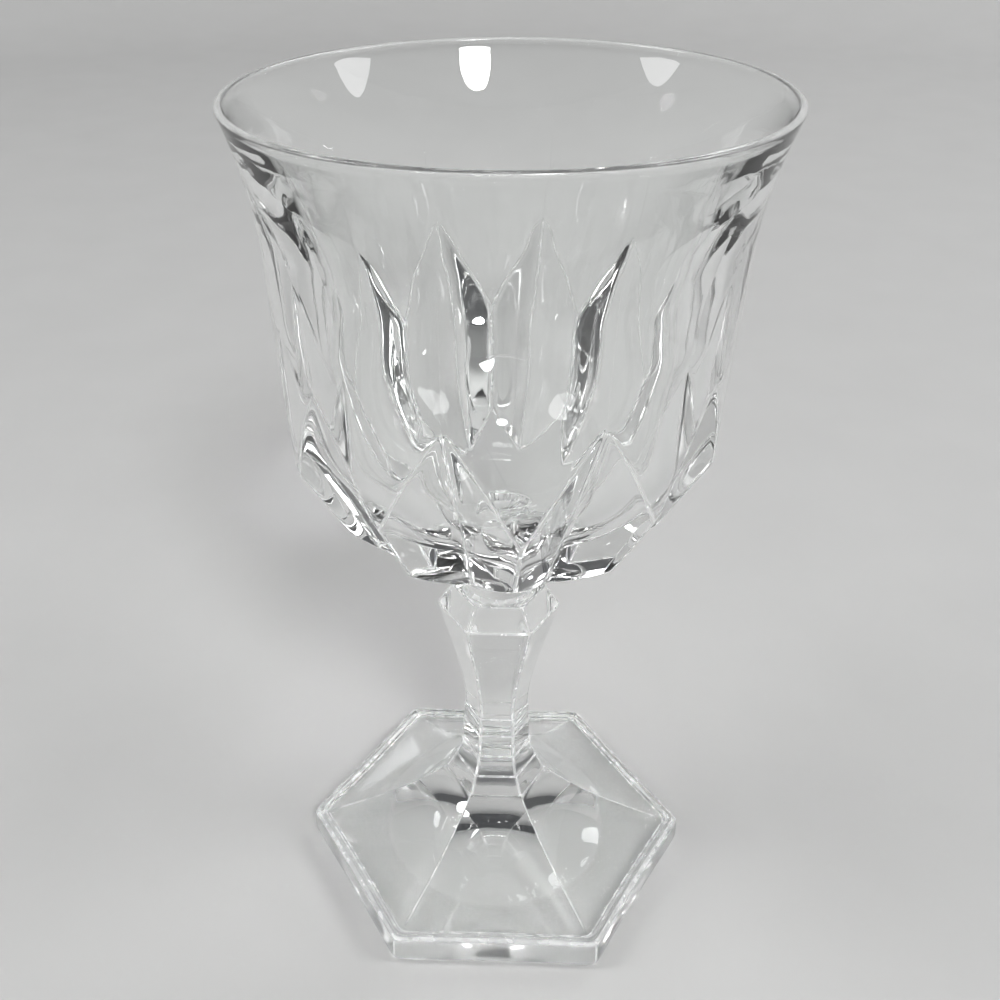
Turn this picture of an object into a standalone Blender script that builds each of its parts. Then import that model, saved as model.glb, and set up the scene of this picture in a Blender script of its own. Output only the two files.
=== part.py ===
"""Stemmed wine goblet of clear pressed and cut glass.

Five gathers of glass are sealed end to end: a hexagonal foot, a stepped collar, a hexagonal stem, a round
merese and a flared bowl. Units are metres, +Z is up, and the origin is the middle of the face under the foot.
"""
import math

import bmesh
import bpy
from mathutils import Vector

MM = 0.001

# Seals between the gathers
SEAL_GAP = 0.3 * MM
SEAL_LAND = 0.5 * MM

# Foot
FOOT_CORNER_RADIUS = 38.4 * MM
FOOT_CORNER_FLAT = 1.6 * MM
FOOT_HEIGHT = 19.3 * MM
FOOT_EDGE_HEIGHT = 6.3 * MM
FOOT_EDGE_ROUND = 1.6 * MM
FOOT_BORDER_WIDTH = 2.6 * MM
FOOT_BORDER_STEP = 0.7 * MM
FOOT_FACET_SLOPE = math.radians(22.8)
FOOT_FACET_SWEEP = 4
FOOT_SIDE_SAG = 0.3 * MM
FOOT_FACET_SAG = 0.5 * MM
FOOT_HOLLOW_RADIUS = 21.0 * MM
FOOT_HOLLOW_DEPTH = 3.5 * MM

# Collar, its tiers listed from the bottom up
COLLAR_TIER_HEIGHTS = (3.3 * MM, 4.2 * MM, 5.0 * MM, 4.0 * MM)
COLLAR_SHOULDER = 0.25 * MM
COLLAR_FLARE = 2.7 * MM
COLLAR_FLARE_HEIGHT = 7.5 * MM
COLLAR_FLARE_CURVE = 1.7

# Stem
STEM_LENGTH = 28.0 * MM
STEM_WAIST_RADIUS = 6.2 * MM
STEM_HEAD_RADIUS = 11.4 * MM
STEM_HEAD_CHAMFER = 4.2 * MM

# Merese, the neck between stem and bowl
MERESE_HEIGHT = 9.9 * MM
MERESE_RADIUS = 6.4 * MM
MERESE_FILLET = 0.8 * MM

# Bowl, with heights measured up from its own base
BOWL_HEIGHT = 81.5 * MM
RIM_RADIUS = 45.0 * MM
LIP_THICKNESS = 1.3 * MM
WALL_LEAN = math.radians(4.2)
FLARE_HEIGHT = 23.0 * MM
UNDERSIDE_ANGLE = math.radians(21.9)
CAVITY_POINT_RADIUS = 27.8 * MM
CAVITY_LEAN = math.radians(9.5)
CAVITY_FLARE_HEIGHT = 33.0 * MM
CAVITY_TURN = 29.1 * MM
CAVITY_FLOOR = 7.5 * MM
CAVITY_ROUNDNESS = 2.3

# Petal panels and the mitre grooves between them
PETAL_COUNT = 10
PETAL_TURN = math.radians(4.5)
PETAL_DEPTH = 0.15 * MM
PETAL_POINT_RADIUS = 36.9 * MM
PETAL_POINT_HEIGHT = 19.8 * MM
PETAL_ARCH_DROP = 9.0 * MM
PETAL_ARCH_ROUND = 7.0 * MM
PETAL_ARCH_FADE = 6.0 * MM
GROOVE_APEX_HEIGHT = 41.3 * MM
STAR_RADIUS = 30.2 * MM
GROOVE_REACH = 42.0 * MM
GROOVE_LEAD_IN = 20.0 * MM
GROOVE_RUN_OUT = 58.0 * MM

# Fineness of the meshes
POINTS_PER_PETAL = 8
POINTS_PER_FOOT_SIDE = 6
POINTS_PER_NECK = 48
ARRIS_FLAT = 0.3 * MM
CREASE_ANGLE = math.radians(20)

SIXTH = math.tau / 6
HALF_PETAL = math.pi / PETAL_COUNT
FLAT_TO_CORNER = 1 / math.cos(SIXTH / 2)

# Heights at which the pieces are stacked, and the sizes that neighbours share
COLLAR_LEVEL = FOOT_HEIGHT + SEAL_GAP
COLLAR_TIERS = len(COLLAR_TIER_HEIGHTS)
COLLAR_BASE_RADIUS = STEM_WAIST_RADIUS + COLLAR_SHOULDER * COLLAR_TIERS + COLLAR_FLARE
STEM_LEVEL = COLLAR_LEVEL + sum(COLLAR_TIER_HEIGHTS) + SEAL_GAP
MERESE_LEVEL = STEM_LEVEL + STEM_LENGTH + SEAL_GAP
BOWL_LEVEL = MERESE_LEVEL + MERESE_HEIGHT + SEAL_GAP
MERESE_END_RADIUS = MERESE_RADIUS + MERESE_FILLET
BOWL_BASE_RADIUS = MERESE_END_RADIUS + SEAL_LAND
LIP_ROUND = LIP_THICKNESS / 2
LIP_LEVEL = BOWL_HEIGHT - LIP_ROUND


def clear_scene():
    """Remove whatever objects the file holds."""
    for old in list(bpy.data.objects):
        bpy.data.objects.remove(old, do_unlink=True)


def clear_glass(name):
    """Colourless polished glass."""
    glass = bpy.data.materials.new(name)
    glass.use_nodes = True
    shader = glass.node_tree.nodes["Principled BSDF"]
    shader.inputs["Base Color"].default_value = (0.96, 0.98, 0.97, 1.0)
    shader.inputs["Metallic"].default_value = 0.0
    shader.inputs["Roughness"].default_value = 0.02
    shader.inputs["IOR"].default_value = 1.52
    shader.inputs["Transmission Weight"].default_value = 1.0
    return glass


def smoothstep(value):
    """Ease from 0 to 1 with level ends."""
    t = min(max(value, 0.0), 1.0)
    return t * t * (3 - 2 * t)


def blend(low, high, share):
    """The value that lies a share of the way from low to high."""
    return low + (high - low) * share


def circle_ring(radius, height, count):
    """A level circle of points."""
    angles = [math.tau * i / count for i in range(count)]
    return [Vector((radius * math.cos(a), radius * math.sin(a), height)) for a in angles]


def hexagon_ring(corner_radius, height, corner_flat=ARRIS_FLAT, side_sag=0.0, per_side=1):
    """A level hexagon with a corner on +X, blunted corners and sides that may be hollow."""
    setback = corner_flat / (2 * math.sin(SIXTH))
    ring = []
    for side in range(6):
        start = Vector((math.cos(SIXTH * side), math.sin(SIXTH * side), 0)) * corner_radius
        end = Vector((math.cos(SIXTH * (side + 1)), math.sin(SIXTH * (side + 1)), 0)) * corner_radius
        along = (end - start).normalized()
        inward = -(start + end).normalized()
        first = start + along * setback
        length = corner_radius - 2 * setback
        for i in range(per_side + 1):
            share = i / per_side
            point = first + along * length * share + inward * side_sag * 4 * share * (1 - share)
            ring.append(Vector((point.x, point.y, height)))
    return ring


def loft(name, rings, glass):
    """A closed solid through rings of equal count, from the bottom up the outside, with capped ends."""
    bm = bmesh.new()
    loops = [[bm.verts.new(point) for point in ring] for ring in rings]
    for lower, upper in zip(loops, loops[1:]):
        count = len(lower)
        for i in range(count):
            j = (i + 1) % count
            bm.faces.new((lower[i], lower[j], upper[j], upper[i]))
    bm.faces.new(list(reversed(loops[0])))
    bm.faces.new(loops[-1])
    bmesh.ops.recalc_face_normals(bm, faces=bm.faces)
    mesh = bpy.data.meshes.new(name)
    bm.to_mesh(mesh)
    bm.free()
    mesh.materials.append(glass)
    mesh.shade_smooth()
    mesh.set_sharp_from_angle(angle=CREASE_ANGLE)
    solid = bpy.data.objects.new(name, mesh)
    bpy.context.scene.collection.objects.link(solid)
    return solid


def place(solid, goblet, level):
    """Stand a piece at its level on the goblet's axis."""
    solid.parent = goblet
    solid.location.z = level


def make_foot(glass):
    """Hexagonal foot: a domed hollow below, a raised border and six facets that sweep up to the collar."""
    top_radius = COLLAR_BASE_RADIUS + SEAL_LAND
    facet_level = FOOT_EDGE_HEIGHT - FOOT_BORDER_STEP
    facet_run = FOOT_CORNER_RADIUS - FOOT_BORDER_WIDTH * FLAT_TO_CORNER - top_radius
    straight_rise = facet_run * math.tan(FOOT_FACET_SLOPE)
    sweep_rise = FOOT_HEIGHT - facet_level - straight_rise
    dome_steps = 5
    round_steps = 3
    facet_steps = 8

    def edge(inset, height):
        return hexagon_ring(FOOT_CORNER_RADIUS - inset * FLAT_TO_CORNER, height, FOOT_CORNER_FLAT,
                            FOOT_SIDE_SAG, POINTS_PER_FOOT_SIDE)

    headings = [point.normalized() for point in edge(FOOT_EDGE_ROUND, 0.0)]
    rings = []
    for step in range(1, dome_steps + 1):
        share = step / dome_steps
        height = FOOT_HOLLOW_DEPTH * (1 - share * share)
        rings.append([heading * FOOT_HOLLOW_RADIUS * share + Vector((0, 0, height)) for heading in headings])
    quarter = [math.pi / 2 * step / round_steps for step in range(round_steps + 1)]
    fillet = [(FOOT_EDGE_ROUND * (1 - math.sin(a)), FOOT_EDGE_ROUND * (1 - math.cos(a))) for a in quarter]
    rings += [edge(inset, height) for inset, height in fillet]
    rings += [edge(inset, FOOT_EDGE_HEIGHT - height) for inset, height in reversed(fillet)]
    rings.append(edge(FOOT_BORDER_WIDTH - FOOT_BORDER_STEP, FOOT_EDGE_HEIGHT))
    for step in range(facet_steps + 1):
        share = step / facet_steps
        radius = top_radius + facet_run * (1 - share)
        height = facet_level + straight_rise * share + sweep_rise * share ** FOOT_FACET_SWEEP
        sag = FOOT_SIDE_SAG * (1 - share) + FOOT_FACET_SAG * 4 * share * (1 - share)
        rings.append(hexagon_ring(radius, height, ARRIS_FLAT, sag, POINTS_PER_FOOT_SIDE))
    return loft("foot", rings, glass)


def make_collar(glass):
    """Stepped hexagonal collar: each tier is set in by a shoulder, and the lower ones flare out."""
    steps_per_tier = 3
    rings = []
    bottom = 0.0
    for tier, tier_height in enumerate(COLLAR_TIER_HEIGHTS):
        straight = STEM_WAIST_RADIUS + COLLAR_SHOULDER * (COLLAR_TIERS - tier)
        for step in range(steps_per_tier + 1):
            height = bottom + tier_height * step / steps_per_tier
            flaring = max(0.0, 1 - height / COLLAR_FLARE_HEIGHT)
            rings.append(hexagon_ring(straight + COLLAR_FLARE * flaring ** COLLAR_FLARE_CURVE, height))
        bottom += tier_height
    return loft("collar", rings, glass)


def make_stem(glass):
    """Hexagonal stem that swells upwards to a chamfered head."""
    taper_steps = 10
    head_top_radius = (MERESE_END_RADIUS + SEAL_LAND) * FLAT_TO_CORNER
    taper_length = STEM_LENGTH - STEM_HEAD_CHAMFER
    rings = []
    for step in range(taper_steps + 1):
        share = step / taper_steps
        swell = share * share * (2 - share)
        rings.append(hexagon_ring(blend(STEM_WAIST_RADIUS, STEM_HEAD_RADIUS, swell), taper_length * share))
    rings.append(hexagon_ring(head_top_radius, STEM_LENGTH))
    return loft("stem", rings, glass)


def make_merese(glass):
    """Round neck whose two ends spread in fillets to their seals."""
    fillet_steps = 4
    fillet = []
    for step in range(fillet_steps + 1):
        angle = math.pi / 2 * step / fillet_steps
        spread = MERESE_FILLET * (1 - math.sin(angle))
        rise = MERESE_FILLET * (1 - math.cos(angle))
        fillet.append((MERESE_RADIUS + spread, rise))
    profile = fillet + [(radius, MERESE_HEIGHT - rise) for radius, rise in reversed(fillet)]
    rings = [circle_ring(radius, height, POINTS_PER_NECK) for radius, height in profile]
    return loft("merese", rings, glass)


def wall_radius(height):
    """Outer radius of the round blank: a straight lean from the petal points up, then a flare to the lip."""
    leaning = PETAL_POINT_RADIUS + (height - PETAL_POINT_HEIGHT) * math.tan(WALL_LEAN)
    at_lip = PETAL_POINT_RADIUS + (LIP_LEVEL - PETAL_POINT_HEIGHT) * math.tan(WALL_LEAN)
    rise = max(0.0, (height - (LIP_LEVEL - FLARE_HEIGHT)) / FLARE_HEIGHT)
    return leaning + (RIM_RADIUS - at_lip) * rise * rise


def petal_relief(angle, height):
    """Depth of the petal panels below the blank: a shallow hollow that fades out under a round arch."""
    turned = (angle - PETAL_TURN) % (2 * HALF_PETAL)
    across = min(turned, 2 * HALF_PETAL - turned) / HALF_PETAL
    arch = BOWL_HEIGHT - PETAL_ARCH_DROP - PETAL_ARCH_ROUND * (1 - math.sqrt(max(0.0, 1 - across * across)))
    return PETAL_DEPTH * (1 - across * across) * smoothstep((arch - height) / PETAL_ARCH_FADE)


def around_bowl(radius, height, pressed):
    """A ring of the bowl; its outside is pressed in by the petals. Angles run from -Y towards +X."""
    count = PETAL_COUNT * POINTS_PER_PETAL
    ring = []
    for i in range(count):
        angle = math.tau * i / count + PETAL_TURN
        reach = radius - petal_relief(angle, height) if pressed else radius
        ring.append(Vector((reach * math.sin(angle), -reach * math.cos(angle), height)))
    return ring


def cavity_radius(height):
    """Inner radius: a steeper lean than the wall's and a longer flare, rounded in below the turn."""
    leaning = CAVITY_POINT_RADIUS + (height - PETAL_POINT_HEIGHT) * math.tan(CAVITY_LEAN)
    at_lip = CAVITY_POINT_RADIUS + (LIP_LEVEL - PETAL_POINT_HEIGHT) * math.tan(CAVITY_LEAN)
    rise = max(0.0, (height - (LIP_LEVEL - CAVITY_FLARE_HEIGHT)) / CAVITY_FLARE_HEIGHT)
    closing = max(0.0, (CAVITY_TURN - height) / (CAVITY_TURN - CAVITY_FLOOR))
    flared = leaning + (RIM_RADIUS - LIP_THICKNESS - at_lip) * rise * rise
    return flared * (1 - closing ** CAVITY_ROUNDNESS) ** (1 / CAVITY_ROUNDNESS)


def make_bowl_blank(glass):
    """The bowl before the grooves are cut: cone below, leaning wall, rounded lip and smooth cavity."""
    underside = math.tan(UNDERSIDE_ANGLE)
    skirt_radius = wall_radius(0.0)
    skirt_height = (skirt_radius - BOWL_BASE_RADIUS) * underside
    wall_steps = 13
    wall_crowding = 1.4
    lip_steps = 4
    side_steps = 9
    floor_steps = 9
    rings = [around_bowl(BOWL_BASE_RADIUS, 0.0, False), around_bowl(skirt_radius, skirt_height, False)]
    for step in range(1, wall_steps + 1):
        share = step / wall_steps
        height = blend(skirt_height, LIP_LEVEL, 1 - (1 - share) ** wall_crowding)
        rings.append(around_bowl(wall_radius(height), height, True))
    middle = wall_radius(LIP_LEVEL) - LIP_ROUND
    for step in range(1, lip_steps):
        angle = math.pi * step / lip_steps
        rings.append(around_bowl(middle + LIP_ROUND * math.cos(angle),
                                 LIP_LEVEL + LIP_ROUND * math.sin(angle), False))
    for step in range(side_steps):
        height = blend(LIP_LEVEL, CAVITY_TURN, step / side_steps)
        rings.append(around_bowl(cavity_radius(height), height, False))
    for step in range(floor_steps):
        share = math.sin(math.pi / 2 * step / floor_steps) ** (2 / CAVITY_ROUNDNESS)
        height = blend(CAVITY_TURN, CAVITY_FLOOR, share)
        rings.append(around_bowl(cavity_radius(height), height, False))
    return loft("bowl", rings, glass)


def groove_cutter(number, bowl, cutters):
    """A long wedge whose edge is one groove's bottom line.

    Each face of the wedge is the plane through the groove's apex on the wall, the petal point beside it and
    the star point below that, so neighbouring grooves meet in an arris from petal point to star point.
    """
    middle = PETAL_TURN + HALF_PETAL * (2 * number + 1)

    def spot(turn, radius, height):
        angle = middle + turn
        return Vector((radius * math.sin(angle), -radius * math.cos(angle), height))

    apex = spot(0.0, wall_radius(GROOVE_APEX_HEIGHT), GROOVE_APEX_HEIGHT)
    petal_radius = wall_radius(PETAL_POINT_HEIGHT) - petal_relief(PETAL_TURN, PETAL_POINT_HEIGHT)
    star_height = (STAR_RADIUS - BOWL_BASE_RADIUS) * math.tan(UNDERSIDE_ANGLE)
    normals = []
    for turn in (-HALF_PETAL, HALF_PETAL):
        petal_point = spot(turn, petal_radius, PETAL_POINT_HEIGHT)
        star_point = spot(turn, STAR_RADIUS, star_height)
        normals.append((petal_point - apex).cross(star_point - apex).normalized())
    bottom_line = normals[0].cross(normals[1]).normalized()
    if bottom_line.z > 0:
        bottom_line.negate()
    outward = spot(0.0, 1.0, 0.0)
    sides = []
    for normal, turn in zip(normals, (-HALF_PETAL, HALF_PETAL)):
        side = normal.cross(bottom_line).normalized()
        if side.dot(outward) < 0:
            side.negate()
        sides.append(side * GROOVE_REACH)
    ends = [apex - bottom_line * GROOVE_LEAD_IN, apex + bottom_line * GROOVE_RUN_OUT]
    bm = bmesh.new()
    top, bottom = [[bm.verts.new(end + offset) for offset in (Vector(), *sides)] for end in ends]
    bm.faces.new(top)
    bm.faces.new(bottom)
    for i in range(3):
        j = (i + 1) % 3
        bm.faces.new((top[i], top[j], bottom[j], bottom[i]))
    bmesh.ops.recalc_face_normals(bm, faces=bm.faces)
    mesh = bpy.data.meshes.new("groove_cutter")
    bm.to_mesh(mesh)
    bm.free()
    cutter = bpy.data.objects.new(f"groove_cutter_{number + 1}", mesh)
    cutter.hide_render = True
    cutter.display_type = "WIRE"
    cutter.parent = bowl
    cutters.objects.link(cutter)


def make_bowl(glass):
    """The flared bowl with a mitre groove cut between each pair of petals."""
    bowl = make_bowl_blank(glass)
    cutters = bpy.data.collections.new("groove_cutters")
    bpy.context.scene.collection.children.link(cutters)
    for number in range(PETAL_COUNT):
        groove_cutter(number, bowl, cutters)
    cut = bowl.modifiers.new("mitre_grooves", "BOOLEAN")
    cut.operation = "DIFFERENCE"
    cut.solver = "EXACT"
    cut.operand_type = "COLLECTION"
    cut.collection = cutters
    return bowl


def main():
    clear_scene()
    goblet = bpy.data.objects.new("goblet", None)
    bpy.context.scene.collection.objects.link(goblet)
    place(make_foot(clear_glass("foot_glass")), goblet, 0.0)
    place(make_collar(clear_glass("collar_glass")), goblet, COLLAR_LEVEL)
    place(make_stem(clear_glass("stem_glass")), goblet, STEM_LEVEL)
    place(make_merese(clear_glass("merese_glass")), goblet, MERESE_LEVEL)
    place(make_bowl(clear_glass("bowl_glass")), goblet, BOWL_LEVEL)


main()
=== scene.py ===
# %% [markdown]
# # A cut-glass wine goblet
# This lesson dresses the solid model of a stemmed wine goblet. The real one is clear pressed glass: a
# flared bowl with petal panels and mitre grooves, a round neck, a hexagonal stem with a stepped collar, and
# a hexagonal foot. Glass shows every crease twice, once on its face and once through its body, so each
# piece is worked out here as a fine surface whose edges are slightly rounded. The solid model stays the
# frame that gives every size and place.

# %% The frame
import math

import bpy
import numpy as np
from mathutils import Matrix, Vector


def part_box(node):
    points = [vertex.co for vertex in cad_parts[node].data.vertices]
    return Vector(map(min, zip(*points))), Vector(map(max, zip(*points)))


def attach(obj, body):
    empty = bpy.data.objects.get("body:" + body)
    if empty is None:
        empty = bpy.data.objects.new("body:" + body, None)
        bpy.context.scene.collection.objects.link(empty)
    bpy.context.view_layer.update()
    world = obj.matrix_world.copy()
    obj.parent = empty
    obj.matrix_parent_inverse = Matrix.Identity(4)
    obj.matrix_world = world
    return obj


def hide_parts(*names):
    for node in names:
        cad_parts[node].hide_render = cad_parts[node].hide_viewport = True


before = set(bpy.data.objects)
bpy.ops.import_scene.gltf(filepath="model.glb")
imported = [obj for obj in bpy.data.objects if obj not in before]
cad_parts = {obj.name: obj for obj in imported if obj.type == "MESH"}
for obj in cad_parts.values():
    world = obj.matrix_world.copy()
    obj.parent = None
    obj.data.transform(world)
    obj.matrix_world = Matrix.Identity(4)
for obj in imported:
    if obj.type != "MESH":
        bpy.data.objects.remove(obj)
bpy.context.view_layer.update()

MM = 0.001
AXIS_BODY = "root"
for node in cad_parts:
    low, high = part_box(node)
    print(f"{node}: z {low.z / MM:.1f} to {high.z / MM:.1f} mm, reach {high.x / MM:.1f} mm")

# %% [markdown]
# ## The camera
# The photograph looks down at the goblet from in front and a little above the rim. Its camera was found by
# fitting the round rim and the hexagonal foot. The picture is a crop from a wider one, so the lens keeps a
# small shift. A camera looks along its own -Z, so its place and its three axes are all that it needs.

# %% Camera
PHOTO_SIDE = 1000
SENSOR = 36.0
CAMERA_PLACE = np.array([0.2, -195.2, 199.5]) * MM
CAMERA_DOWN = 27.59
CAMERA_TURN = -3.70
CAMERA_ROLL = -0.74
FOCAL_PIXELS = 1247.2
CENTRE_PIXEL = (431.0, 427.9)
FOOT_TURN = 0.735
NEAREST = 0.005
FARTHEST = 50.0


def turned(points, degrees):
    """Points turned about the goblet's axis: the usual rotation formula on x and y."""
    c = math.cos(math.radians(degrees))
    s = math.sin(math.radians(degrees))
    return points @ np.array([[c, -s, 0], [s, c, 0], [0, 0, 1]]).T


def put_in_place(thing, axes):
    """Put an object into the scene by four vectors: its right, its up, its back and its place."""
    matrix = np.eye(4)
    matrix[:3, :] = np.asarray(axes).T
    thing.matrix_world = Matrix(matrix.tolist())
    bpy.context.scene.collection.objects.link(thing)


def make_camera():
    """Aim by three unit vectors: forward from the two angles, and right and up leaned by the roll."""
    down, turn, roll = (math.radians(v) for v in (CAMERA_DOWN, CAMERA_TURN, CAMERA_ROLL))
    forward = np.array([math.sin(turn) * math.cos(down), math.cos(turn) * math.cos(down), -math.sin(down)])
    level = np.array([math.cos(turn), -math.sin(turn), 0])
    upright = np.cross(level, forward)
    right = math.cos(roll) * level + math.sin(roll) * upright
    up = math.cos(roll) * upright - math.sin(roll) * level
    data = bpy.data.cameras.new("camera")
    data.sensor_width = SENSOR
    data.lens = FOCAL_PIXELS / PHOTO_SIDE * SENSOR
    data.shift_x = 0.5 - CENTRE_PIXEL[0] / PHOTO_SIDE
    data.shift_y = CENTRE_PIXEL[1] / PHOTO_SIDE - 0.5
    data.clip_start = NEAREST
    data.clip_end = FARTHEST
    camera = bpy.data.objects.new("camera", data)
    put_in_place(camera, turned(np.array([right, up, -forward, CAMERA_PLACE]), -FOOT_TURN))
    bpy.context.scene.camera = camera
    return camera


camera = make_camera()
print("camera shift:", round(camera.data.shift_x, 3), round(camera.data.shift_y, 3))

# %% [markdown]
# ## Surfaces from rows of points
# Every piece is a stack of closed rings, so one helper turns an array of rows and columns into a mesh. A
# closed end shrinks to a pole. The signed volume says whether the faces point out, and turns them if not.
# On a used glass the edges carry fine wear, which catches the light. Wear belongs where the surface bends
# sharply, so a second helper measures the bend on the same grid, and the mesh keeps it as an attribute for
# the material. Vertex paint would do too, but it would have to follow every change of shape by hand.

# %% Wear along the edges
WORN_BENDS = (0.25, 0.8)
TINY = 1e-15


def smoothstep(value):
    """Ease from 0 to 1: 3t^2 - 2t^3 of the clipped value."""
    t = np.clip(value, 0, 1)
    return t * t * (3 - 2 * t)


def edge_wear(rows):
    """Wear of each grid point, 0 to 1, eased between the two worn bends, in radians per millimetre.

    The normal is the cross product of the steps along the two grid directions. The bend is the change of the
    normal between neighbours divided by their distance, in whichever direction it is greater.
    """
    around = np.roll(rows, -1, axis=1) - np.roll(rows, 1, axis=1)
    upward = np.gradient(rows, axis=0)
    normal = np.cross(around, upward)
    normal /= np.linalg.norm(normal, axis=-1, keepdims=True) + TINY
    turn_around = np.roll(normal, -1, axis=1) - np.roll(normal, 1, axis=1)
    turn_upward = np.gradient(normal, axis=0)
    bend_around = np.linalg.norm(turn_around, axis=-1) / (np.linalg.norm(around, axis=-1) + TINY)
    bend_upward = np.linalg.norm(turn_upward, axis=-1) / (np.linalg.norm(upward, axis=-1) + TINY)
    bend = np.maximum(bend_around, bend_upward) * MM
    return smoothstep((bend - WORN_BENDS[0]) / (WORN_BENDS[1] - WORN_BENDS[0]))


# %% Rows to mesh
def skin(name, rows, close_start=False, close_end=False, wear_share=1.0):
    """A mesh from an array (rows, columns, 3): quads between rows, and a fan to a pole at each closed end.

    Where two pieces of glass are sealed, both ends stay open and share a ring, so that light runs through
    the seal. The sum of a . (b x c) over all triangles has the sign of the volume; when it is negative the
    faces are flipped.
    """
    count, around = rows.shape[:2]
    points = np.concatenate([rows.reshape(-1, 3), [rows[0].mean(axis=0), rows[-1].mean(axis=0)]])
    here = np.arange(around)
    beyond = (here + 1) % around
    base = (np.arange(count - 1) * around)[:, None]
    corners = [base + here, base + beyond, base + around + beyond, base + around + here]
    quads = np.stack(corners, axis=-1).reshape(-1, 4)
    first_pole = count * around
    last = first_pole - around
    start_fan = np.stack([np.full(around, first_pole), beyond, here], axis=-1)
    end_fan = np.stack([np.full(around, first_pole + 1), last + here, last + beyond], axis=-1)
    fans = np.concatenate([start_fan[: around * close_start], end_fan[: around * close_end]])
    triangles = np.concatenate([quads[:, [0, 1, 2]], quads[:, [0, 2, 3]], fans])
    a, b, c = (points[triangles[:, i]] for i in range(3))
    if np.einsum("ij,ij->", a, np.cross(b, c)) < 0:
        quads, fans = quads[:, ::-1], fans[:, ::-1]
    used = [True] * first_pole + [close_start, close_end]
    points = points[used]
    fans = np.minimum(fans, len(points) - 1)
    mesh = bpy.data.meshes.new(name)
    mesh.from_pydata(points.tolist(), [], quads.tolist() + fans.tolist())
    mesh.shade_smooth()
    wear = np.concatenate([(edge_wear(rows) * wear_share).ravel(), [0, 0]])[used]
    mesh.attributes.new("wear", "FLOAT", "POINT").data.foreach_set("value", wear.astype(np.float32))
    piece = bpy.data.objects.new(name, mesh)
    bpy.context.scene.collection.objects.link(piece)
    print(f"{name}: {len(triangles)} triangles, mean wear {wear.mean():.3f}")
    return piece


# %% Blends and rounded profiles
SAME_POINT = 1e-6 * MM


def blend(low, high, share):
    """low + (high - low) * share."""
    return low + (high - low) * share


def softer_min(a, b, width):
    """The lesser of two values, rounded where they cross: the minimum less (width - |a - b|)^2 / 4 width."""
    near = np.clip(width - np.abs(a - b), 0, None)
    return np.minimum(a, b) - near * near / (4 * width)


def rounded_profile(points, radii, steps=6):
    """A profile of (reach, height) points with each inner corner replaced by a quadratic curve.

    The curve starts and ends one radius from the corner and has the corner as its middle control point.
    Where two curves meet, the point that they share is kept once.
    """
    points = np.asarray(points, float)
    share = np.linspace(0, 1, steps)[:, None]
    out = [points[:1]]
    for before, corner, after, radius in zip(points, points[1:], points[2:], radii):
        to_before = before - corner
        to_after = after - corner
        start = corner + to_before * min(radius / np.linalg.norm(to_before), 0.5)
        end = corner + to_after * min(radius / np.linalg.norm(to_after), 0.5)
        out.append((1 - share) ** 2 * start + 2 * share * (1 - share) * corner + share**2 * end)
    curve = np.concatenate(out + [points[-1:]])
    apart = np.linalg.norm(np.diff(curve, axis=0), axis=1) > SAME_POINT
    return curve[np.concatenate([[True], apart])]


# %% [markdown]
# ## The bowl
# The bowl is round and smooth inside. Outside, ten shallow petal panels are pressed into it, and ten mitre
# grooves are cut between them. A groove starts as a point on the wall and grows deeper and wider downwards,
# until neighbouring grooves meet in an arris that runs from the petal's point to the star on the underside.
# The underside is rounded, which leaves the bowl's lower outline straight between the points of the star. A
# Boolean cut would do, but it leaves long thin triangles that spoil refraction. Here the radius is a
# formula of angle and height, and the columns of the grid slide along the crease, so that each crease lies
# on mesh edges.

# %% Bowl sizes
bowl_low, bowl_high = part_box("bowl")
BOWL_BASE = bowl_low.z
RIM_TOP = bowl_high.z
RIM_RADIUS = bowl_high.x
SEAL_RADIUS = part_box("merese")[1].x
SEAL_LAND = 0.5 * MM
NECK_RADIUS = SEAL_RADIUS + SEAL_LAND
NECK_SEAL = (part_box("merese")[1].z + BOWL_BASE) / 2
PETALS = 10
PETAL_TURN = math.radians(4.5)
HALF_PETAL = math.pi / PETALS
LIP_THICKNESS = 1.3 * MM
LIP_LEVEL = RIM_TOP - LIP_THICKNESS / 2
POINT_RADIUS = 36.9 * MM
POINT_LEVEL = BOWL_BASE + 19.8 * MM
print(f"bowl: {RIM_RADIUS / MM:.1f} mm radius, {(RIM_TOP - BOWL_BASE) / MM:.1f} mm tall, {PETALS} petals")

# %% Wall and petals
WALL_LEAN = math.tan(math.radians(4.2))
FLARE_HEIGHT = 23.0 * MM
PETAL_DEPTH = 0.10 * MM
ARCH_TOP = RIM_TOP - 9.0 * MM
ARCH_ROUND = 7.0 * MM
ARCH_FADE = 6.0 * MM


def wall_radius(height):
    """The round blank: a straight lean, plus a flare by the square of the height above its start."""
    leaning = POINT_RADIUS + (height - POINT_LEVEL) * WALL_LEAN
    at_lip = POINT_RADIUS + (LIP_LEVEL - POINT_LEVEL) * WALL_LEAN
    rise = np.clip((height - (LIP_LEVEL - FLARE_HEIGHT)) / FLARE_HEIGHT, 0, None)
    return leaning + (RIM_RADIUS - at_lip) * rise * rise


def petal_radius(across, height):
    """The blank less a parabola across the petal, which fades out under a round arch. across is 0 to 1."""
    arch = ARCH_TOP - ARCH_ROUND * (1 - np.sqrt(np.clip(1 - across * across, 0, None)))
    relief = PETAL_DEPTH * (1 - across * across) * smoothstep((arch - height) / ARCH_FADE)
    return wall_radius(height) - relief


print(f"petal's middle at the arch: {petal_radius(0.0, ARCH_TOP) / MM:.2f} mm")

# %% Grooves
APEX_LEVEL = BOWL_BASE + 41.3 * MM
STAR_RADIUS = 30.2 * MM
STAR_LEVEL = BOWL_BASE + 9.37 * MM
CREASE_ROUND = 0.6 * MM
VALLEY_ROUND = math.radians(0.8)
HALVINGS = 40


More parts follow.
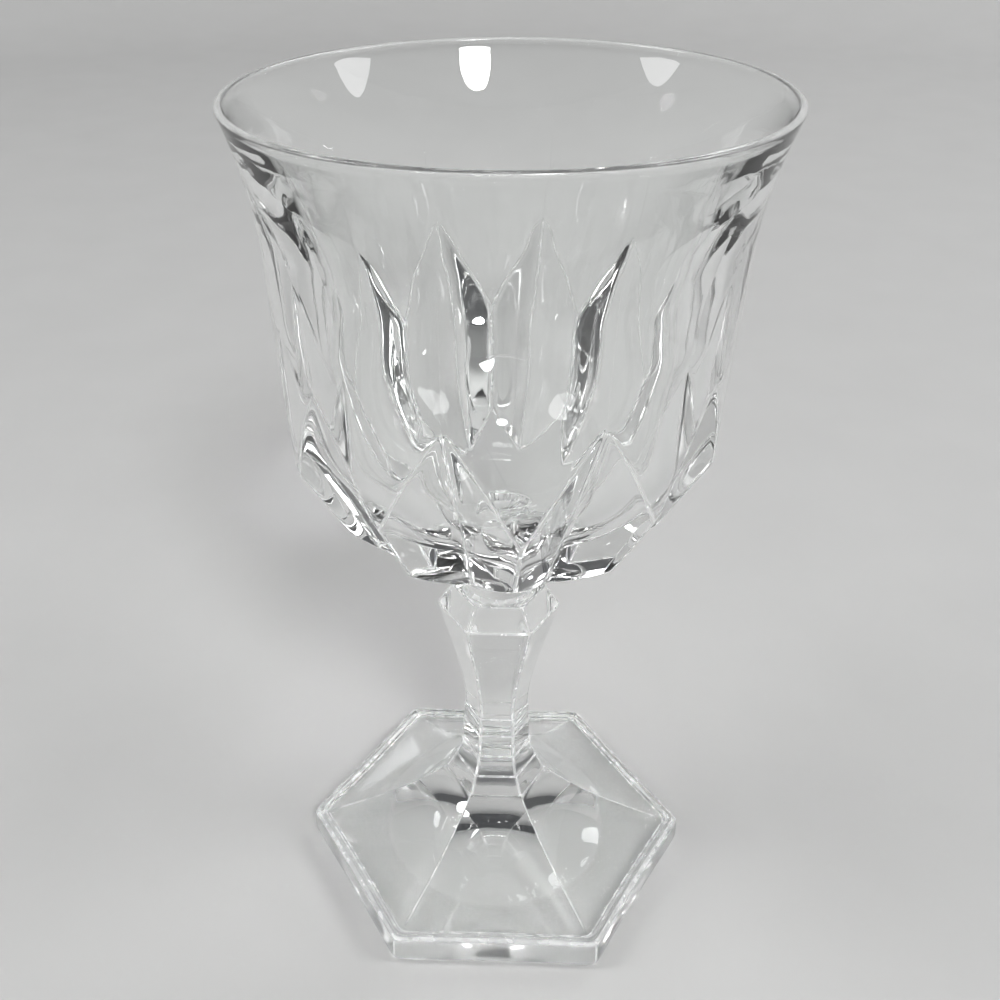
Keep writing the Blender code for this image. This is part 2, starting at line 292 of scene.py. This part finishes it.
def groove_plane():
    """The groove's face as a plane (normal, offset): x along the petal's middle, y towards the groove."""
    apex_reach = wall_radius(APEX_LEVEL)
    apex = np.array([apex_reach * math.cos(HALF_PETAL), apex_reach * math.sin(HALF_PETAL), APEX_LEVEL])
    point = np.array([petal_radius(0.0, POINT_LEVEL), 0, POINT_LEVEL])
    star = np.array([STAR_RADIUS, 0, STAR_LEVEL])
    normal = np.cross(star - point, apex - point)
    normal /= np.linalg.norm(normal)
    return normal, normal @ apex


GROOVE_NORMAL, GROOVE_OFFSET = groove_plane()
print("groove's face looks along", np.round(GROOVE_NORMAL, 3))


def groove_radius(angle, height):
    """Radius of the groove's plane at an angle from the petal's middle: (d - nz z) / (nx cos + ny sin).

    The angle is rounded at both ends, sqrt(angle^2 + round^2), which softens the arris and the valley.
    """
    from_valley = np.sqrt((HALF_PETAL - angle) ** 2 + VALLEY_ROUND**2)
    kept = np.sqrt(np.clip(HALF_PETAL - from_valley, 0, None) ** 2 + VALLEY_ROUND**2)
    nx, ny, nz = GROOVE_NORMAL
    return (GROOVE_OFFSET - nz * height) / (nx * np.cos(kept) + ny * np.sin(kept))


def outer_radius(angle, height):
    """The petal or the groove, whichever lies deeper, with their crease rounded."""
    return softer_min(petal_radius(angle / HALF_PETAL, height), groove_radius(angle, height), CREASE_ROUND)


def crease_angle(height):
    """Where petal and groove cross at each height, found by halving the interval again and again."""
    near = np.zeros_like(height)
    far = np.full_like(height, HALF_PETAL)
    for _ in range(HALVINGS):
        middle = (near + far) / 2
        petal_deeper = petal_radius(middle / HALF_PETAL, height) < groove_radius(middle, height)
        near = np.where(petal_deeper, middle, near)
        far = np.where(petal_deeper, far, middle)
    return near


# %% Underside and its star
UNDERSIDE_RISE = 8.75 * MM
UNDERSIDE_CURVE = 2.15
STAR_ROUND = 0.45 * MM
STAR_STEPS = 6
REPETITIONS = 30


def underside_height(reach):
    """The underside leaves the neck level and rises by rise x (share of the way to the star)^2.15."""
    share = (reach - NECK_RADIUS) / (STAR_RADIUS - NECK_RADIUS)
    return BOWL_BASE + UNDERSIDE_RISE * share**UNDERSIDE_CURVE


def star_outline(angles):
    """Where the groove meets the underside: its radius at the underside's height, found by repetition.

    The groove is the steeper of the two, so each repetition brings the radius closer.
    """
    reach = np.full_like(angles, STAR_RADIUS)
    for _ in range(REPETITIONS):
        reach = groove_radius(angles, underside_height(reach))
    return reach, underside_height(reach)


def rounded_star(reach, height, wall_reach, wall_height):
    """The star's edge, a quadratic curve from the underside to the wall, one rounding long each way."""
    share = np.linspace(0, 1, STAR_STEPS)[:, None]
    inner = reach - STAR_ROUND
    start = (inner, underside_height(inner))
    along = STAR_ROUND / np.hypot(wall_reach - reach, wall_height - height)
    end = (reach + (wall_reach - reach) * along, height + (wall_height - height) * along)
    weights = ((1 - share) ** 2, 2 * share * (1 - share), share**2)
    middle = (reach, height)
    return tuple(weights[0] * s + weights[1] * m + weights[2] * e for s, m, e in zip(start, middle, end))


# %% Cavity
CAVITY_RADIUS = 27.8 * MM
CAVITY_LEAN = math.tan(math.radians(9.5))
CAVITY_FLARE = 33.0 * MM
CAVITY_TURN = BOWL_BASE + 29.1 * MM
CAVITY_FLOOR = BOWL_BASE + 7.5 * MM
CAVITY_ROUNDNESS = 2.3


def cavity_radius(height):
    """Inside: a steeper lean than the wall's and a longer flare, closed below the turn by a superellipse."""
    leaning = CAVITY_RADIUS + (height - POINT_LEVEL) * CAVITY_LEAN
    at_lip = CAVITY_RADIUS + (LIP_LEVEL - POINT_LEVEL) * CAVITY_LEAN
    rise = np.clip((height - (LIP_LEVEL - CAVITY_FLARE)) / CAVITY_FLARE, 0, None)
    closing = np.clip((CAVITY_TURN - height) / (CAVITY_TURN - CAVITY_FLOOR), 0, 1)
    open_radius = leaning + (RIM_RADIUS - LIP_THICKNESS - at_lip) * rise * rise
    return open_radius * (1 - closing**CAVITY_ROUNDNESS) ** (1 / CAVITY_ROUNDNESS)


wall_left = outer_radius(HALF_PETAL, POINT_LEVEL) - cavity_radius(POINT_LEVEL)
print(f"glass behind a groove's valley, at the petal's point: {wall_left / MM:.1f} mm")

# %% Bowl columns
PETAL_COLUMNS = 10
GROOVE_COLUMNS = 9
CREASE_MARGIN = math.radians(0.5)


def eased(count):
    """Shares from 0 up to, but without, 1, crowded towards both ends by a cosine."""
    return (1 - np.cos(np.pi * np.arange(count) / count)) / 2


def petal_angles(heights):
    """Angles of the columns across half a petal, one row for each height; they slide with the crease."""
    crease = np.clip(crease_angle(heights), CREASE_MARGIN, HALF_PETAL - CREASE_MARGIN)[:, None]
    on_petal = crease * eased(PETAL_COLUMNS)
    in_groove = crease + (HALF_PETAL - crease) * eased(GROOVE_COLUMNS)
    return np.concatenate([on_petal, in_groove], axis=1)


def round_the_bowl(half_angles, half_values):
    """Mirror half a petal to a whole one and repeat it round the bowl, with the values that go with it."""
    valley = np.full((len(half_angles), 1), HALF_PETAL)
    valley_value = half_values[:, :, -1:]
    mirrored = -half_angles[:, :0:-1]
    angles = np.concatenate([-valley, mirrored, half_angles], axis=1)
    values = np.concatenate([valley_value, half_values[:, :, -2:0:-1], half_values[:, :, :-1]], axis=2)
    starts = PETAL_TURN + 2 * HALF_PETAL * np.arange(PETALS)
    angles = (angles[:, None, :] + starts[None, :, None]).reshape(len(half_angles), -1)
    values = np.tile(values, (1, 1, PETALS))
    return angles, values


def bowl_rows(half_angles, reach, height):
    """Points of the bowl from arrays of half a petal, valley last; the angles run from -Y to +X."""
    angles, (reach, height) = round_the_bowl(half_angles, np.stack([reach, height]))
    return np.stack([reach * np.sin(angles), -reach * np.cos(angles), height], axis=-1)


# %% Bowl
GROOVE_ROWS = 44
PANEL_ROWS = 16
ARCH_ROWS = 26
FLARE_ROWS = 10
SKIRT_ROWS = 20
LIP_ROWS = 13
SIDE_ROWS = 36
CAVITY_ROWS = 40
LIP_WEAR = 0.45
ROWS_UNDER_LIP = 2


def wall_levels():
    """Heights of the wall's rows, closest where the grooves and the arches need them."""
    arch_start = ARCH_TOP - ARCH_ROUND - ARCH_FADE
    return np.concatenate([
        np.linspace(POINT_LEVEL, APEX_LEVEL, GROOVE_ROWS, endpoint=False),
        np.linspace(APEX_LEVEL, arch_start, PANEL_ROWS, endpoint=False),
        np.linspace(arch_start, ARCH_TOP, ARCH_ROWS, endpoint=False),
        np.linspace(ARCH_TOP, LIP_LEVEL, FLARE_ROWS, endpoint=False),
    ])


def skirt_rows(columns, meridians):
    """Rings from the neck's seal along the underside, round the star's edge and up to the petals' points."""
    star_reach, star_height = star_outline(meridians)
    share = np.linspace(0, 1, SKIRT_ROWS)[:, None]
    falling = blend(star_height, POINT_LEVEL, share[:-1])
    foot_of_wall = outer_radius(np.broadcast_to(meridians, falling.shape), falling)
    inward = blend(NECK_RADIUS, star_reach, share)
    edge_reach, edge_height = rounded_star(star_reach, star_height, foot_of_wall[1], falling[1])
    ring = np.ones_like(meridians)
    reach = np.concatenate([SEAL_RADIUS * ring, inward[:-1], edge_reach, foot_of_wall[1:]])
    height = np.concatenate([NECK_SEAL * ring, underside_height(inward)[:-1], edge_height, falling[1:]])
    return bowl_rows(np.repeat(columns, len(reach), axis=0), reach, height)


def cup_rows(columns, meridians):
    """Rings over the lip, a half circle, and down the cavity to its floor."""
    top = np.linspace(0, np.pi, LIP_ROWS)
    middle = wall_radius(LIP_LEVEL) - LIP_THICKNESS / 2
    lip_reach = middle + LIP_THICKNESS / 2 * np.cos(top)
    lip_height = LIP_LEVEL + LIP_THICKNESS / 2 * np.sin(top)
    side = np.linspace(LIP_LEVEL, CAVITY_TURN, SIDE_ROWS)[1:]
    quarter = np.linspace(0, np.pi / 2, CAVITY_ROWS, endpoint=False)[1:]
    closing = np.sin(quarter) ** (2 / CAVITY_ROUNDNESS)
    down = np.concatenate([side, blend(CAVITY_TURN, CAVITY_FLOOR, closing)])
    reach = np.concatenate([lip_reach, cavity_radius(down)])[:, None]
    height = np.concatenate([lip_height, down])[:, None]
    ones = np.ones_like(meridians)
    return bowl_rows(np.repeat(columns, len(reach), axis=0), reach * ones, height * ones)


def make_bowl():
    """Rings from the neck's seal, out to the star, up the wall, over the lip and down the cavity."""
    levels = wall_levels()
    slide = petal_angles(levels)
    full = np.concatenate([slide, np.full((len(levels), 1), HALF_PETAL)], axis=1)
    tall = np.broadcast_to(levels[:, None], full.shape)
    wall = bowl_rows(slide, outer_radius(full, tall), tall)
    skirt = skirt_rows(slide[:1], full[:1])
    cup = cup_rows(slide[-1:], full[:1])
    rows = np.concatenate([skirt, wall, cup])
    wear_share = np.ones((len(rows), 1))
    wear_share[-len(cup) - ROWS_UNDER_LIP :] = LIP_WEAR
    return skin("cut_bowl", rows, close_end=True, wear_share=wear_share)


bowl = make_bowl()

# %% [markdown]
# ## Hexagonal pieces
# The stem, its collar and the foot are all hexagons with a corner towards +X. One ring formula serves them:
# the distance to the two nearest sides, joined by a high power so that the corner is rounded, with sides
# that may be hollow. A profile of reach and height then carries that ring up the axis. A Bevel modifier
# could round the corners of a plain prism, but it couldn't change the rounding along the way.

# %% Hexagon rings
SIDES = 6
SIDE_ANGLE = 2 * math.pi / SIDES
HALF_SIDE = math.pi / SIDES
SIDE_COLUMNS = 26
CORNER_CROWDING = 0.93


def hexagon_angles():
    """Angles round a hexagon, crowded towards its corners: u less a share of sin(2 pi u) / 2 pi."""
    u = np.arange(SIDE_COLUMNS) / SIDE_COLUMNS
    along = u - CORNER_CROWDING * np.sin(2 * np.pi * u) / (2 * np.pi)
    return (np.arange(SIDES)[:, None] + along).ravel() * SIDE_ANGLE


def hexagon_reach(angles, flat, sharpness, sag):
    """Reach of a hexagon whose sides lie at distance flat, hollowed by sag in the middle.

    On its own side the reach is (flat - sag (1 - s^2)) / cos d, with d the angle from the side's middle and
    s its share of the half side. Multiplying by (1 + (cos(60 - |d|) / cos d)^p)^(-1/p) rounds the corner.
    """
    offset = np.abs(np.mod(angles, SIDE_ANGLE) - HALF_SIDE)
    share = np.tan(offset) / math.tan(HALF_SIDE)
    own = (flat - sag * (1 - share**2)) / np.cos(offset)
    ratio = np.cos(SIDE_ANGLE - offset) / np.cos(offset)
    return own * (1 + ratio**sharpness) ** (-1 / sharpness)


def rings(reach, height, angles):
    """Points (reach cos, reach sin, height), one row for each reach and height."""
    return np.stack([reach * np.cos(angles), reach * np.sin(angles), height + 0 * angles], axis=-1)


def carried_up(profile, sharpness, sag=0.0):
    """Rings of a hexagon along a profile of (corner radius, height) points."""
    angles = hexagon_angles()
    flat = profile[:, :1] * math.cos(HALF_SIDE)
    reach = hexagon_reach(angles, flat, np.reshape(sharpness, (-1, 1)), np.reshape(sag, (-1, 1)))
    return rings(reach, profile[:, 1:], angles)


print("columns round a hexagon:", len(hexagon_angles()))

# %% [markdown]
# ## The neck
# Between the bowl and the stem sits a short round neck, the merese. Its ends spread in small fillets to the
# seals. A lathe profile is all it needs, so a circle is carried along one.

# %% Neck
NECK_FILLET = 0.8 * MM
FILLET_ROWS = 9
STEM_SEAL = (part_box("stem")[1].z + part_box("merese")[0].z) / 2


def make_neck():
    """A waisted cylinder: quarter-circle fillets at both ends, joined by a straight wall."""
    turn = np.linspace(0, np.pi / 2, FILLET_ROWS)
    spread = SEAL_RADIUS - NECK_FILLET * np.sin(turn)
    rise = NECK_FILLET * (1 - np.cos(turn))
    reach = np.concatenate([spread, spread[::-1]])[:, None]
    height = np.concatenate([STEM_SEAL + rise, NECK_SEAL - rise[::-1]])[:, None]
    return skin("neck_wafer", rings(reach, height, hexagon_angles()))


neck = make_neck()

# %% [markdown]
# ## The stem
# The stem swells upwards from a slim waist to a head with chamfered shoulders. The swell follows
# t^2 (2 - t), which leaves the waist straight and reaches the head still opening. Fire polish has softened
# every arris and the edges of the head, and on glass it is these roundings that catch the light.

# %% Stem
STEM_WAIST = 6.25 * MM
STEM_HEAD = 11.75 * MM
HEAD_CHAMFER = 4.2 * MM
HEAD_EDGE_ROUND = 0.45 * MM
HEAD_TOP = NECK_RADIUS / math.cos(HALF_SIDE)
HEAD_TOP_INNER = 0.8 * HEAD_TOP
ARRIS_SHARPNESS = 26.0
STEM_ROWS = 40
ROWS_UNDER_HEAD = 4
COLLAR_SEAL = (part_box("collar")[1].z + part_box("stem")[0].z) / 2


def make_stem():
    """The swell as a profile, then the rounded head, the chamfer and a flat top down to the neck's ring."""
    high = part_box("stem")[1]
    share = np.linspace(0, 1, STEM_ROWS)
    swell = share * share * (2 - share)
    level = blend(COLLAR_SEAL, high.z - HEAD_CHAMFER, share)
    taper = np.stack([blend(STEM_WAIST, STEM_HEAD, swell), level], axis=1)
    shoulder = [taper[-ROWS_UNDER_HEAD], taper[-1], (HEAD_TOP, high.z), (HEAD_TOP_INNER, high.z)]
    head = rounded_profile(shoulder, [HEAD_EDGE_ROUND, HEAD_EDGE_ROUND / 2])
    body = carried_up(np.concatenate([taper[:-ROWS_UNDER_HEAD], head[:-1]]), ARRIS_SHARPNESS)
    seal = rings(SEAL_RADIUS, STEM_SEAL, hexagon_angles())
    return skin("hexagonal_stem", np.concatenate([body, seal[None]]))


stem = make_stem()

# %% [markdown]
# ## The collar
# Below the stem the glass widens in four hexagonal tiers, each set in from the one below by a narrow
# shoulder, and the lower tiers flare towards the foot. The shoulders give the ladder of bright lines above
# the foot. The tiers could be stacked as four pieces, but one profile keeps the glass whole.

# %% Collar
TIER_HEIGHTS = np.array([3.3, 4.2, 5.0, 4.0]) * MM
TIER_SHOULDER = 0.25 * MM
TIER_ROUND = 0.2 * MM
TIER_ROWS = 5
TIER_STEPS = 5
COLLAR_FLARE = 2.7 * MM
FLARE_SPAN = 7.5 * MM
FLARE_CURVE = 1.7
COLLAR_BASE = STEM_WAIST + TIER_SHOULDER * len(TIER_HEIGHTS) + COLLAR_FLARE
FOOT_SEAL = (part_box("foot")[1].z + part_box("collar")[0].z) / 2


def make_collar():
    """Reach is the waist, a shoulder for each tier up to the top, and flare ((span - h) / span)^1.7."""
    tops = np.cumsum(TIER_HEIGHTS)
    rise = (tops - TIER_HEIGHTS)[:, None] + TIER_HEIGHTS[:, None] * np.linspace(0, 1, TIER_ROWS)
    shoulders = TIER_SHOULDER * np.arange(len(TIER_HEIGHTS), 0, -1)[:, None]
    flaring = np.clip(1 - rise / FLARE_SPAN, 0, None) ** FLARE_CURVE
    reach = STEM_WAIST + shoulders + COLLAR_FLARE * flaring
    faces = np.stack([reach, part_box("collar")[0].z + rise], axis=-1).reshape(-1, 2)
    points = np.concatenate([[(COLLAR_BASE, FOOT_SEAL)], faces[1:], [(STEM_WAIST, COLLAR_SEAL)]])
    profile = rounded_profile(points, [TIER_ROUND] * (len(points) - 2), TIER_STEPS)
    return skin("stepped_collar", carried_up(profile, ARRIS_SHARPNESS))


collar = make_collar()

# %% [markdown]
# ## The foot
# A pressed foot: a flat ring to stand on round a shallow domed hollow, a rounded border that stands proud
# like a bead, and six faintly hollow facets inside it. They rise at a steady slope and sweep up steeply
# just under the collar, with crisp ridges between them. One profile from the hollow to the seal makes all
# of it.

# %% Foot sizes
FOOT_RADIUS = 38.4 * MM
BORDER_TOP = 6.3 * MM
BORDER_WIDTH = 2.6 * MM
BORDER_STEP = 0.7 * MM
EDGE_ROUND = 2.4 * MM
EDGE_STEPS = 8
CREASE_FILLET = 0.3 * MM
FOOT_SIDE_SAG = 0.3 * MM
FACET_SAG = 0.5 * MM
FACET_SLOPE = math.tan(math.radians(22.8))
FACET_SWEEP = 4
FACET_ROWS = 44
FACET_BLEND_ROW = 4
HOLLOW_RADIUS = 21.0 * MM
HOLLOW_DEPTH = 3.5 * MM
HOLLOW_START = 0.04
HOLLOW_ROWS = 14
FOOT_TOP = COLLAR_BASE + SEAL_LAND
EDGE_SHARPNESS = 57.0
RIDGE_SHARPNESS = 300.0
RIDGE_EASING = 8
print(f"foot: {2 * FOOT_RADIUS / MM:.1f} mm across sharp corners, hollow {HOLLOW_DEPTH / MM:.1f} mm deep")


# %% Foot
def foot_hollow(angles, level):
    """Round rings of a paraboloid: depth (1 - s^2) at the share s of the hollow's radius."""
    share = np.linspace(HOLLOW_START, 1, HOLLOW_ROWS)[:, None]
    return rings(HOLLOW_RADIUS * share, level + HOLLOW_DEPTH * (1 - share * share), angles)


def facet_profile(start, end):
    """From the border's crease to the seal: slope s + (what is left of the rise) s^4 over the run s."""
    share = np.linspace(0, 1, FACET_ROWS)
    run = start[0] - end[0]
    steady = run * FACET_SLOPE
    climb = steady * share + (end[1] - start[1] - steady) * share**FACET_SWEEP
    return np.stack([start[0] - run * share, start[1] + climb], axis=1)


def make_foot():
    """The hollow, then hexagon rings round the border and up the facets.

    Up is the share of the way up the facets. The sides' sag goes with 1 - up, the facets' with
    4 up (1 - up), and the corners sharpen by smoothstep from the border to the ridges.
    """
    low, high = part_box("foot")
    to_corner = 1 / math.cos(HALF_SIDE)
    crease = (FOOT_RADIUS - BORDER_WIDTH * to_corner, low.z + BORDER_TOP - BORDER_STEP)
    inner_top = (FOOT_RADIUS - (BORDER_WIDTH - BORDER_STEP) * to_corner, low.z + BORDER_TOP)
    facets = facet_profile(crease, (FOOT_TOP, high.z))
    outer = [(FOOT_RADIUS - 2 * EDGE_ROUND, low.z), (FOOT_RADIUS, low.z), (FOOT_RADIUS, inner_top[1])]
    border = outer + [inner_top, facets[0], facets[FACET_BLEND_ROW]]
    edge = rounded_profile(border, [EDGE_ROUND, EDGE_ROUND, BORDER_STEP, CREASE_FILLET], EDGE_STEPS)
    profile = np.concatenate([edge[:-1], facets[FACET_BLEND_ROW:], [(COLLAR_BASE, FOOT_SEAL)]])
    past_border = np.arange(len(profile)) >= len(edge) - 1
    up = past_border * np.clip((profile[:, 1] - crease[1]) / (high.z - crease[1]), 0, 1)
    sag = FOOT_SIDE_SAG * (1 - up) + FACET_SAG * 4 * up * (1 - up)
    sharpness = blend(EDGE_SHARPNESS, RIDGE_SHARPNESS, smoothstep(up * RIDGE_EASING))
    sharpness[-1] = ARRIS_SHARPNESS
    hollow = foot_hollow(hexagon_angles(), low.z)
    rows = np.concatenate([hollow, carried_up(profile, sharpness, sag)])
    return skin("hexagonal_foot", rows, close_start=True)


foot = make_foot()

# %% [markdown]
# ## The glass
# Clear glass has almost no colour of its own. What makes it look real is its bending of light, the faint
# waviness that a mould leaves, and the fine marks of wear. The waviness is a bump from a soft noise, and
# the haze a little roughness in patches; both read Object coordinates, so they stay put on the piece. Along
# the edges the wear attribute makes the glass rougher and lets it scatter light, so that they show as fine
# bright lines. The face that stands on tables is rubbed in the same way. A scratch picture could be wrapped
# round each piece instead, but these nodes need no picture and fit any shape.

# %% Glass helpers
FLECK_SCALE = 400.0
FLECK_DETAIL = 2.0
FLECK_RANGE = (0.35, 0.65)
FLECK_SHARES = (0.7, 1.0)
RUBBED_LEVEL = 0.3 * MM
RUBBED_SHARE = 0.3


def noise(tree, place, scale, detail):
    """A soft noise on Object coordinates, from 0 to 1."""
    node = tree.nodes.new("ShaderNodeTexNoise")
    node.inputs["Scale"].default_value = scale
    node.inputs["Detail"].default_value = detail
    tree.links.new(place.outputs["Object"], node.inputs["Vector"])
    return node.outputs["Fac"]


def mapped(tree, value, before, after):
    """A Map Range node: the range before is carried over to the range after, and held at its ends."""
    node = tree.nodes.new("ShaderNodeMapRange")
    for socket, number in zip(("From Min", "From Max", "To Min", "To Max"), (*before, *after)):
        node.inputs[socket].default_value = number
    tree.links.new(value, node.inputs["Value"])
    return node.outputs["Result"]


def multiply_add(tree, value, factor, base):
    """A Math node: value x factor + base, where factor and base are numbers or sockets."""
    node = tree.nodes.new("ShaderNodeMath")
    node.operation = "MULTIPLY_ADD"
    for socket, given in zip(node.inputs, (value, factor, base)):
        if isinstance(given, float):
            socket.default_value = given
        else:
            tree.links.new(given, socket)
    return node.outputs["Value"]


def worn_share(tree, place):
    """Wear x (0.7 to 1, by a fine noise), and the rubbed share at height 0, fading to none at its level."""
    wear = tree.nodes.new("ShaderNodeAttribute")
    wear.attribute_name = "wear"
    flecks = mapped(tree, noise(tree, place, FLECK_SCALE, FLECK_DETAIL), FLECK_RANGE, FLECK_SHARES)
    parts = tree.nodes.new("ShaderNodeSeparateXYZ")
    tree.links.new(place.outputs["Object"], parts.inputs["Vector"])
    rubbed = mapped(tree, parts.outputs["Z"], (0.0, RUBBED_LEVEL), (RUBBED_SHARE, 0.0))
    return multiply_add(tree, wear.outputs["Fac"], flecks, rubbed)


# %% Glass
GLASS_TINT = (0.985, 0.993, 0.988, 1.0)
GLASS_IOR = 1.52
HAZE_SCALE = 90.0
HAZE_DETAIL = 6.0
HAZE_RANGE = (0.5, 0.8)
WAVE_SCALE = 140.0
WAVE_DETAIL = 1.0
WAVE_HEIGHT = 0.1 * MM
WORN_ROUGHNESS = 0.3
WORN_SCATTER = 0.5


def make_glass(name, ripple, haze):
    """Polished glass: waves as bump, roughness haze + 0.3 wear, and a clear share of 1 - 0.5 wear."""
    glass = bpy.data.materials.new(name)
    glass.use_nodes = True
    tree = glass.node_tree
    shader = tree.nodes["Principled BSDF"]
    shader.inputs["Base Color"].default_value = GLASS_TINT
    shader.inputs["IOR"].default_value = GLASS_IOR
    shader.inputs["Transmission Weight"].default_value = 1.0
    place = tree.nodes.new("ShaderNodeTexCoord")
    worn = worn_share(tree, place)
    patches = mapped(tree, noise(tree, place, HAZE_SCALE, HAZE_DETAIL), HAZE_RANGE, (0.0, haze))
    bump = tree.nodes.new("ShaderNodeBump")
    bump.inputs["Strength"].default_value = ripple
    bump.inputs["Distance"].default_value = WAVE_HEIGHT
    tree.links.new(noise(tree, place, WAVE_SCALE, WAVE_DETAIL), bump.inputs["Height"])
    tree.links.new(bump.outputs["Normal"], shader.inputs["Normal"])
    tree.links.new(multiply_add(tree, worn, WORN_ROUGHNESS, patches), shader.inputs["Roughness"])
    tree.links.new(multiply_add(tree, worn, -WORN_SCATTER, 1.0), shader.inputs["Transmission Weight"])
    print(f"{name}: {len(tree.nodes)} nodes")
    return glass


cut_glass = make_glass("cut_glass", ripple=0.16, haze=0.03)
pressed_glass = make_glass("pressed_glass", ripple=0.5, haze=0.05)

# %% [markdown]
# ## Joining the frame
# Each surface stands for one piece of the solid model and rides on the goblet's only body. The bowl's faces
# were cut and polished, so they ripple less than the pressed pieces under it.

# %% Pieces on the frame
for piece, node, glass in (
    (bowl, "bowl", cut_glass),
    (neck, "merese", pressed_glass),
    (stem, "stem", pressed_glass),
    (collar, "collar", pressed_glass),
    (foot, "foot", pressed_glass),
):
    piece.data.materials.append(glass)
    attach(piece, AXIS_BODY)
    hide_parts(node)
    print(f"{piece.name} stands for {node}")

# %% [markdown]
# ## The floor
# Glass shows its shape by what it mirrors and bends, so the room matters as much as the material. Here it
# is a plain pale studio: a round floor of matt paint that sweeps up into a backdrop on all sides. Two
# planes would leave a line where they meet, which the glass would show many times over.

# %% Floor
FLOOR_FLAT = 0.9
FLOOR_REACH = 2.4
FLOOR_START = 0.02
FLOOR_ROWS = 80
FLOOR_COLUMNS = 96
BACKDROP_RISE = 1.5
FLOOR_LEVEL = -0.08 * MM
FLOOR_COLOURS = ((0.58, 0.58, 0.575, 1.0), (0.62, 0.62, 0.615, 1.0))
FLOOR_ROUGHNESS = 0.8
MOTTLE_SCALE = 30.0
MOTTLE_DETAIL = 4.0


def floor_paint():
    """Matt paint with a faint mottle: a soft noise picks between two near colours."""
    paint = bpy.data.materials.new("floor_paint")
    paint.use_nodes = True
    tree = paint.node_tree
    shader = tree.nodes["Principled BSDF"]
    shader.inputs["Roughness"].default_value = FLOOR_ROUGHNESS
    place = tree.nodes.new("ShaderNodeTexCoord")
    colours = tree.nodes.new("ShaderNodeValToRGB")
    for stop, colour in zip(colours.color_ramp.elements, FLOOR_COLOURS):
        stop.color = colour
    tree.links.new(noise(tree, place, MOTTLE_SCALE, MOTTLE_DETAIL), colours.inputs["Fac"])
    tree.links.new(colours.outputs["Color"], shader.inputs["Base Color"])
    return paint


def make_floor():
    """Rings whose height is rise x smoothstep of the share of the way from the flat to the outer edge."""
    reach = np.linspace(FLOOR_START, FLOOR_REACH, FLOOR_ROWS)[:, None]
    angles = np.linspace(0, 2 * np.pi, FLOOR_COLUMNS, endpoint=False)
    sweep = BACKDROP_RISE * smoothstep((reach - FLOOR_FLAT) / (FLOOR_REACH - FLOOR_FLAT))
    floor = skin("floor", rings(reach, FLOOR_LEVEL + sweep, angles), close_start=True)
    floor.data.materials.append(floor_paint())


make_floor()

# %% [markdown]
# ## The light
# Five lamps hang in a dim room. The oval boxes at the left, right and back give long highlights, and the
# dim ceiling between them gives the dark edges. The smaller box in front throws the shadow of the bowl
# behind the stem, where the bright edges stand out against it. One large lamp overhead would be simpler,
# but glass would mirror it as a single pale cloud.
# Light runs through many faces of glass before it reaches the eye, so the scene allows many bounces, and
# neither clamps nor blurs them, because that would turn the thick foot grey.

# %% Lights
MIDDLE = np.array([0.0, 0.0, 0.08])
LAMPS = {
    "left_box": (188, 46, 1.8, (0.72, 1.0), 10.0),
    "right_box": (-8, 42, 1.8, (0.6, 0.9), 8.0),
    "back_box": (56, 46, 1.8, (0.5, 0.7), 5.0),
    "front_box": (-74, 42, 1.8, (0.4, 0.4), 13.0),
    "ceiling_lamp": (-90, 87, 2.0, (0.22, 0.22), 2.6),
}


def soft_box(name, bearing, height, far, size, power):
    """An oval lamp that faces the goblet's middle, placed by bearing and height in degrees and by distance.

    Its place is far x (cos h cos b, cos h sin b, sin h), added to the middle.
    """
    b = math.radians(bearing)
    h = math.radians(height)
    back = np.array([math.cos(h) * math.cos(b), math.cos(h) * math.sin(b), math.sin(h)])
    right = np.array([-math.sin(b), math.cos(b), 0])
    lamp = bpy.data.lights.new(name, "AREA")
    lamp.shape = "ELLIPSE"
    lamp.size, lamp.size_y = size
    lamp.energy = power
    axes = [right, np.cross(back, right), back, MIDDLE + far * back]
    put_in_place(bpy.data.objects.new(name, lamp), axes)
    print(f"{name}: {power:.1f} W at bearing {bearing}, {height} degrees up")


for name, settings in LAMPS.items():
    soft_box(name, *settings)

# %% Room
ROOM_COLOUR = (0.5, 0.52, 0.55, 1.0)
ROOM_STRENGTH = 0.12
GLASS_BOUNCES = 32
MIRROR_BOUNCES = 8
world = bpy.data.worlds.new("dim_room")
world.use_nodes = True
background = world.node_tree.nodes["Background"]
background.inputs["Color"].default_value = ROOM_COLOUR
background.inputs["Strength"].default_value = ROOM_STRENGTH
scene = bpy.context.scene
scene.world = world
scene.view_settings.view_transform = "Standard"
scene.cycles.max_bounces = GLASS_BOUNCES
scene.cycles.transmission_bounces = GLASS_BOUNCES
scene.cycles.glossy_bounces = MIRROR_BOUNCES
scene.cycles.sample_clamp_indirect = 0.0
scene.cycles.blur_glossy = 0.0
print(f"{world.name}: strength {ROOM_STRENGTH}, {GLASS_BOUNCES} bounces")
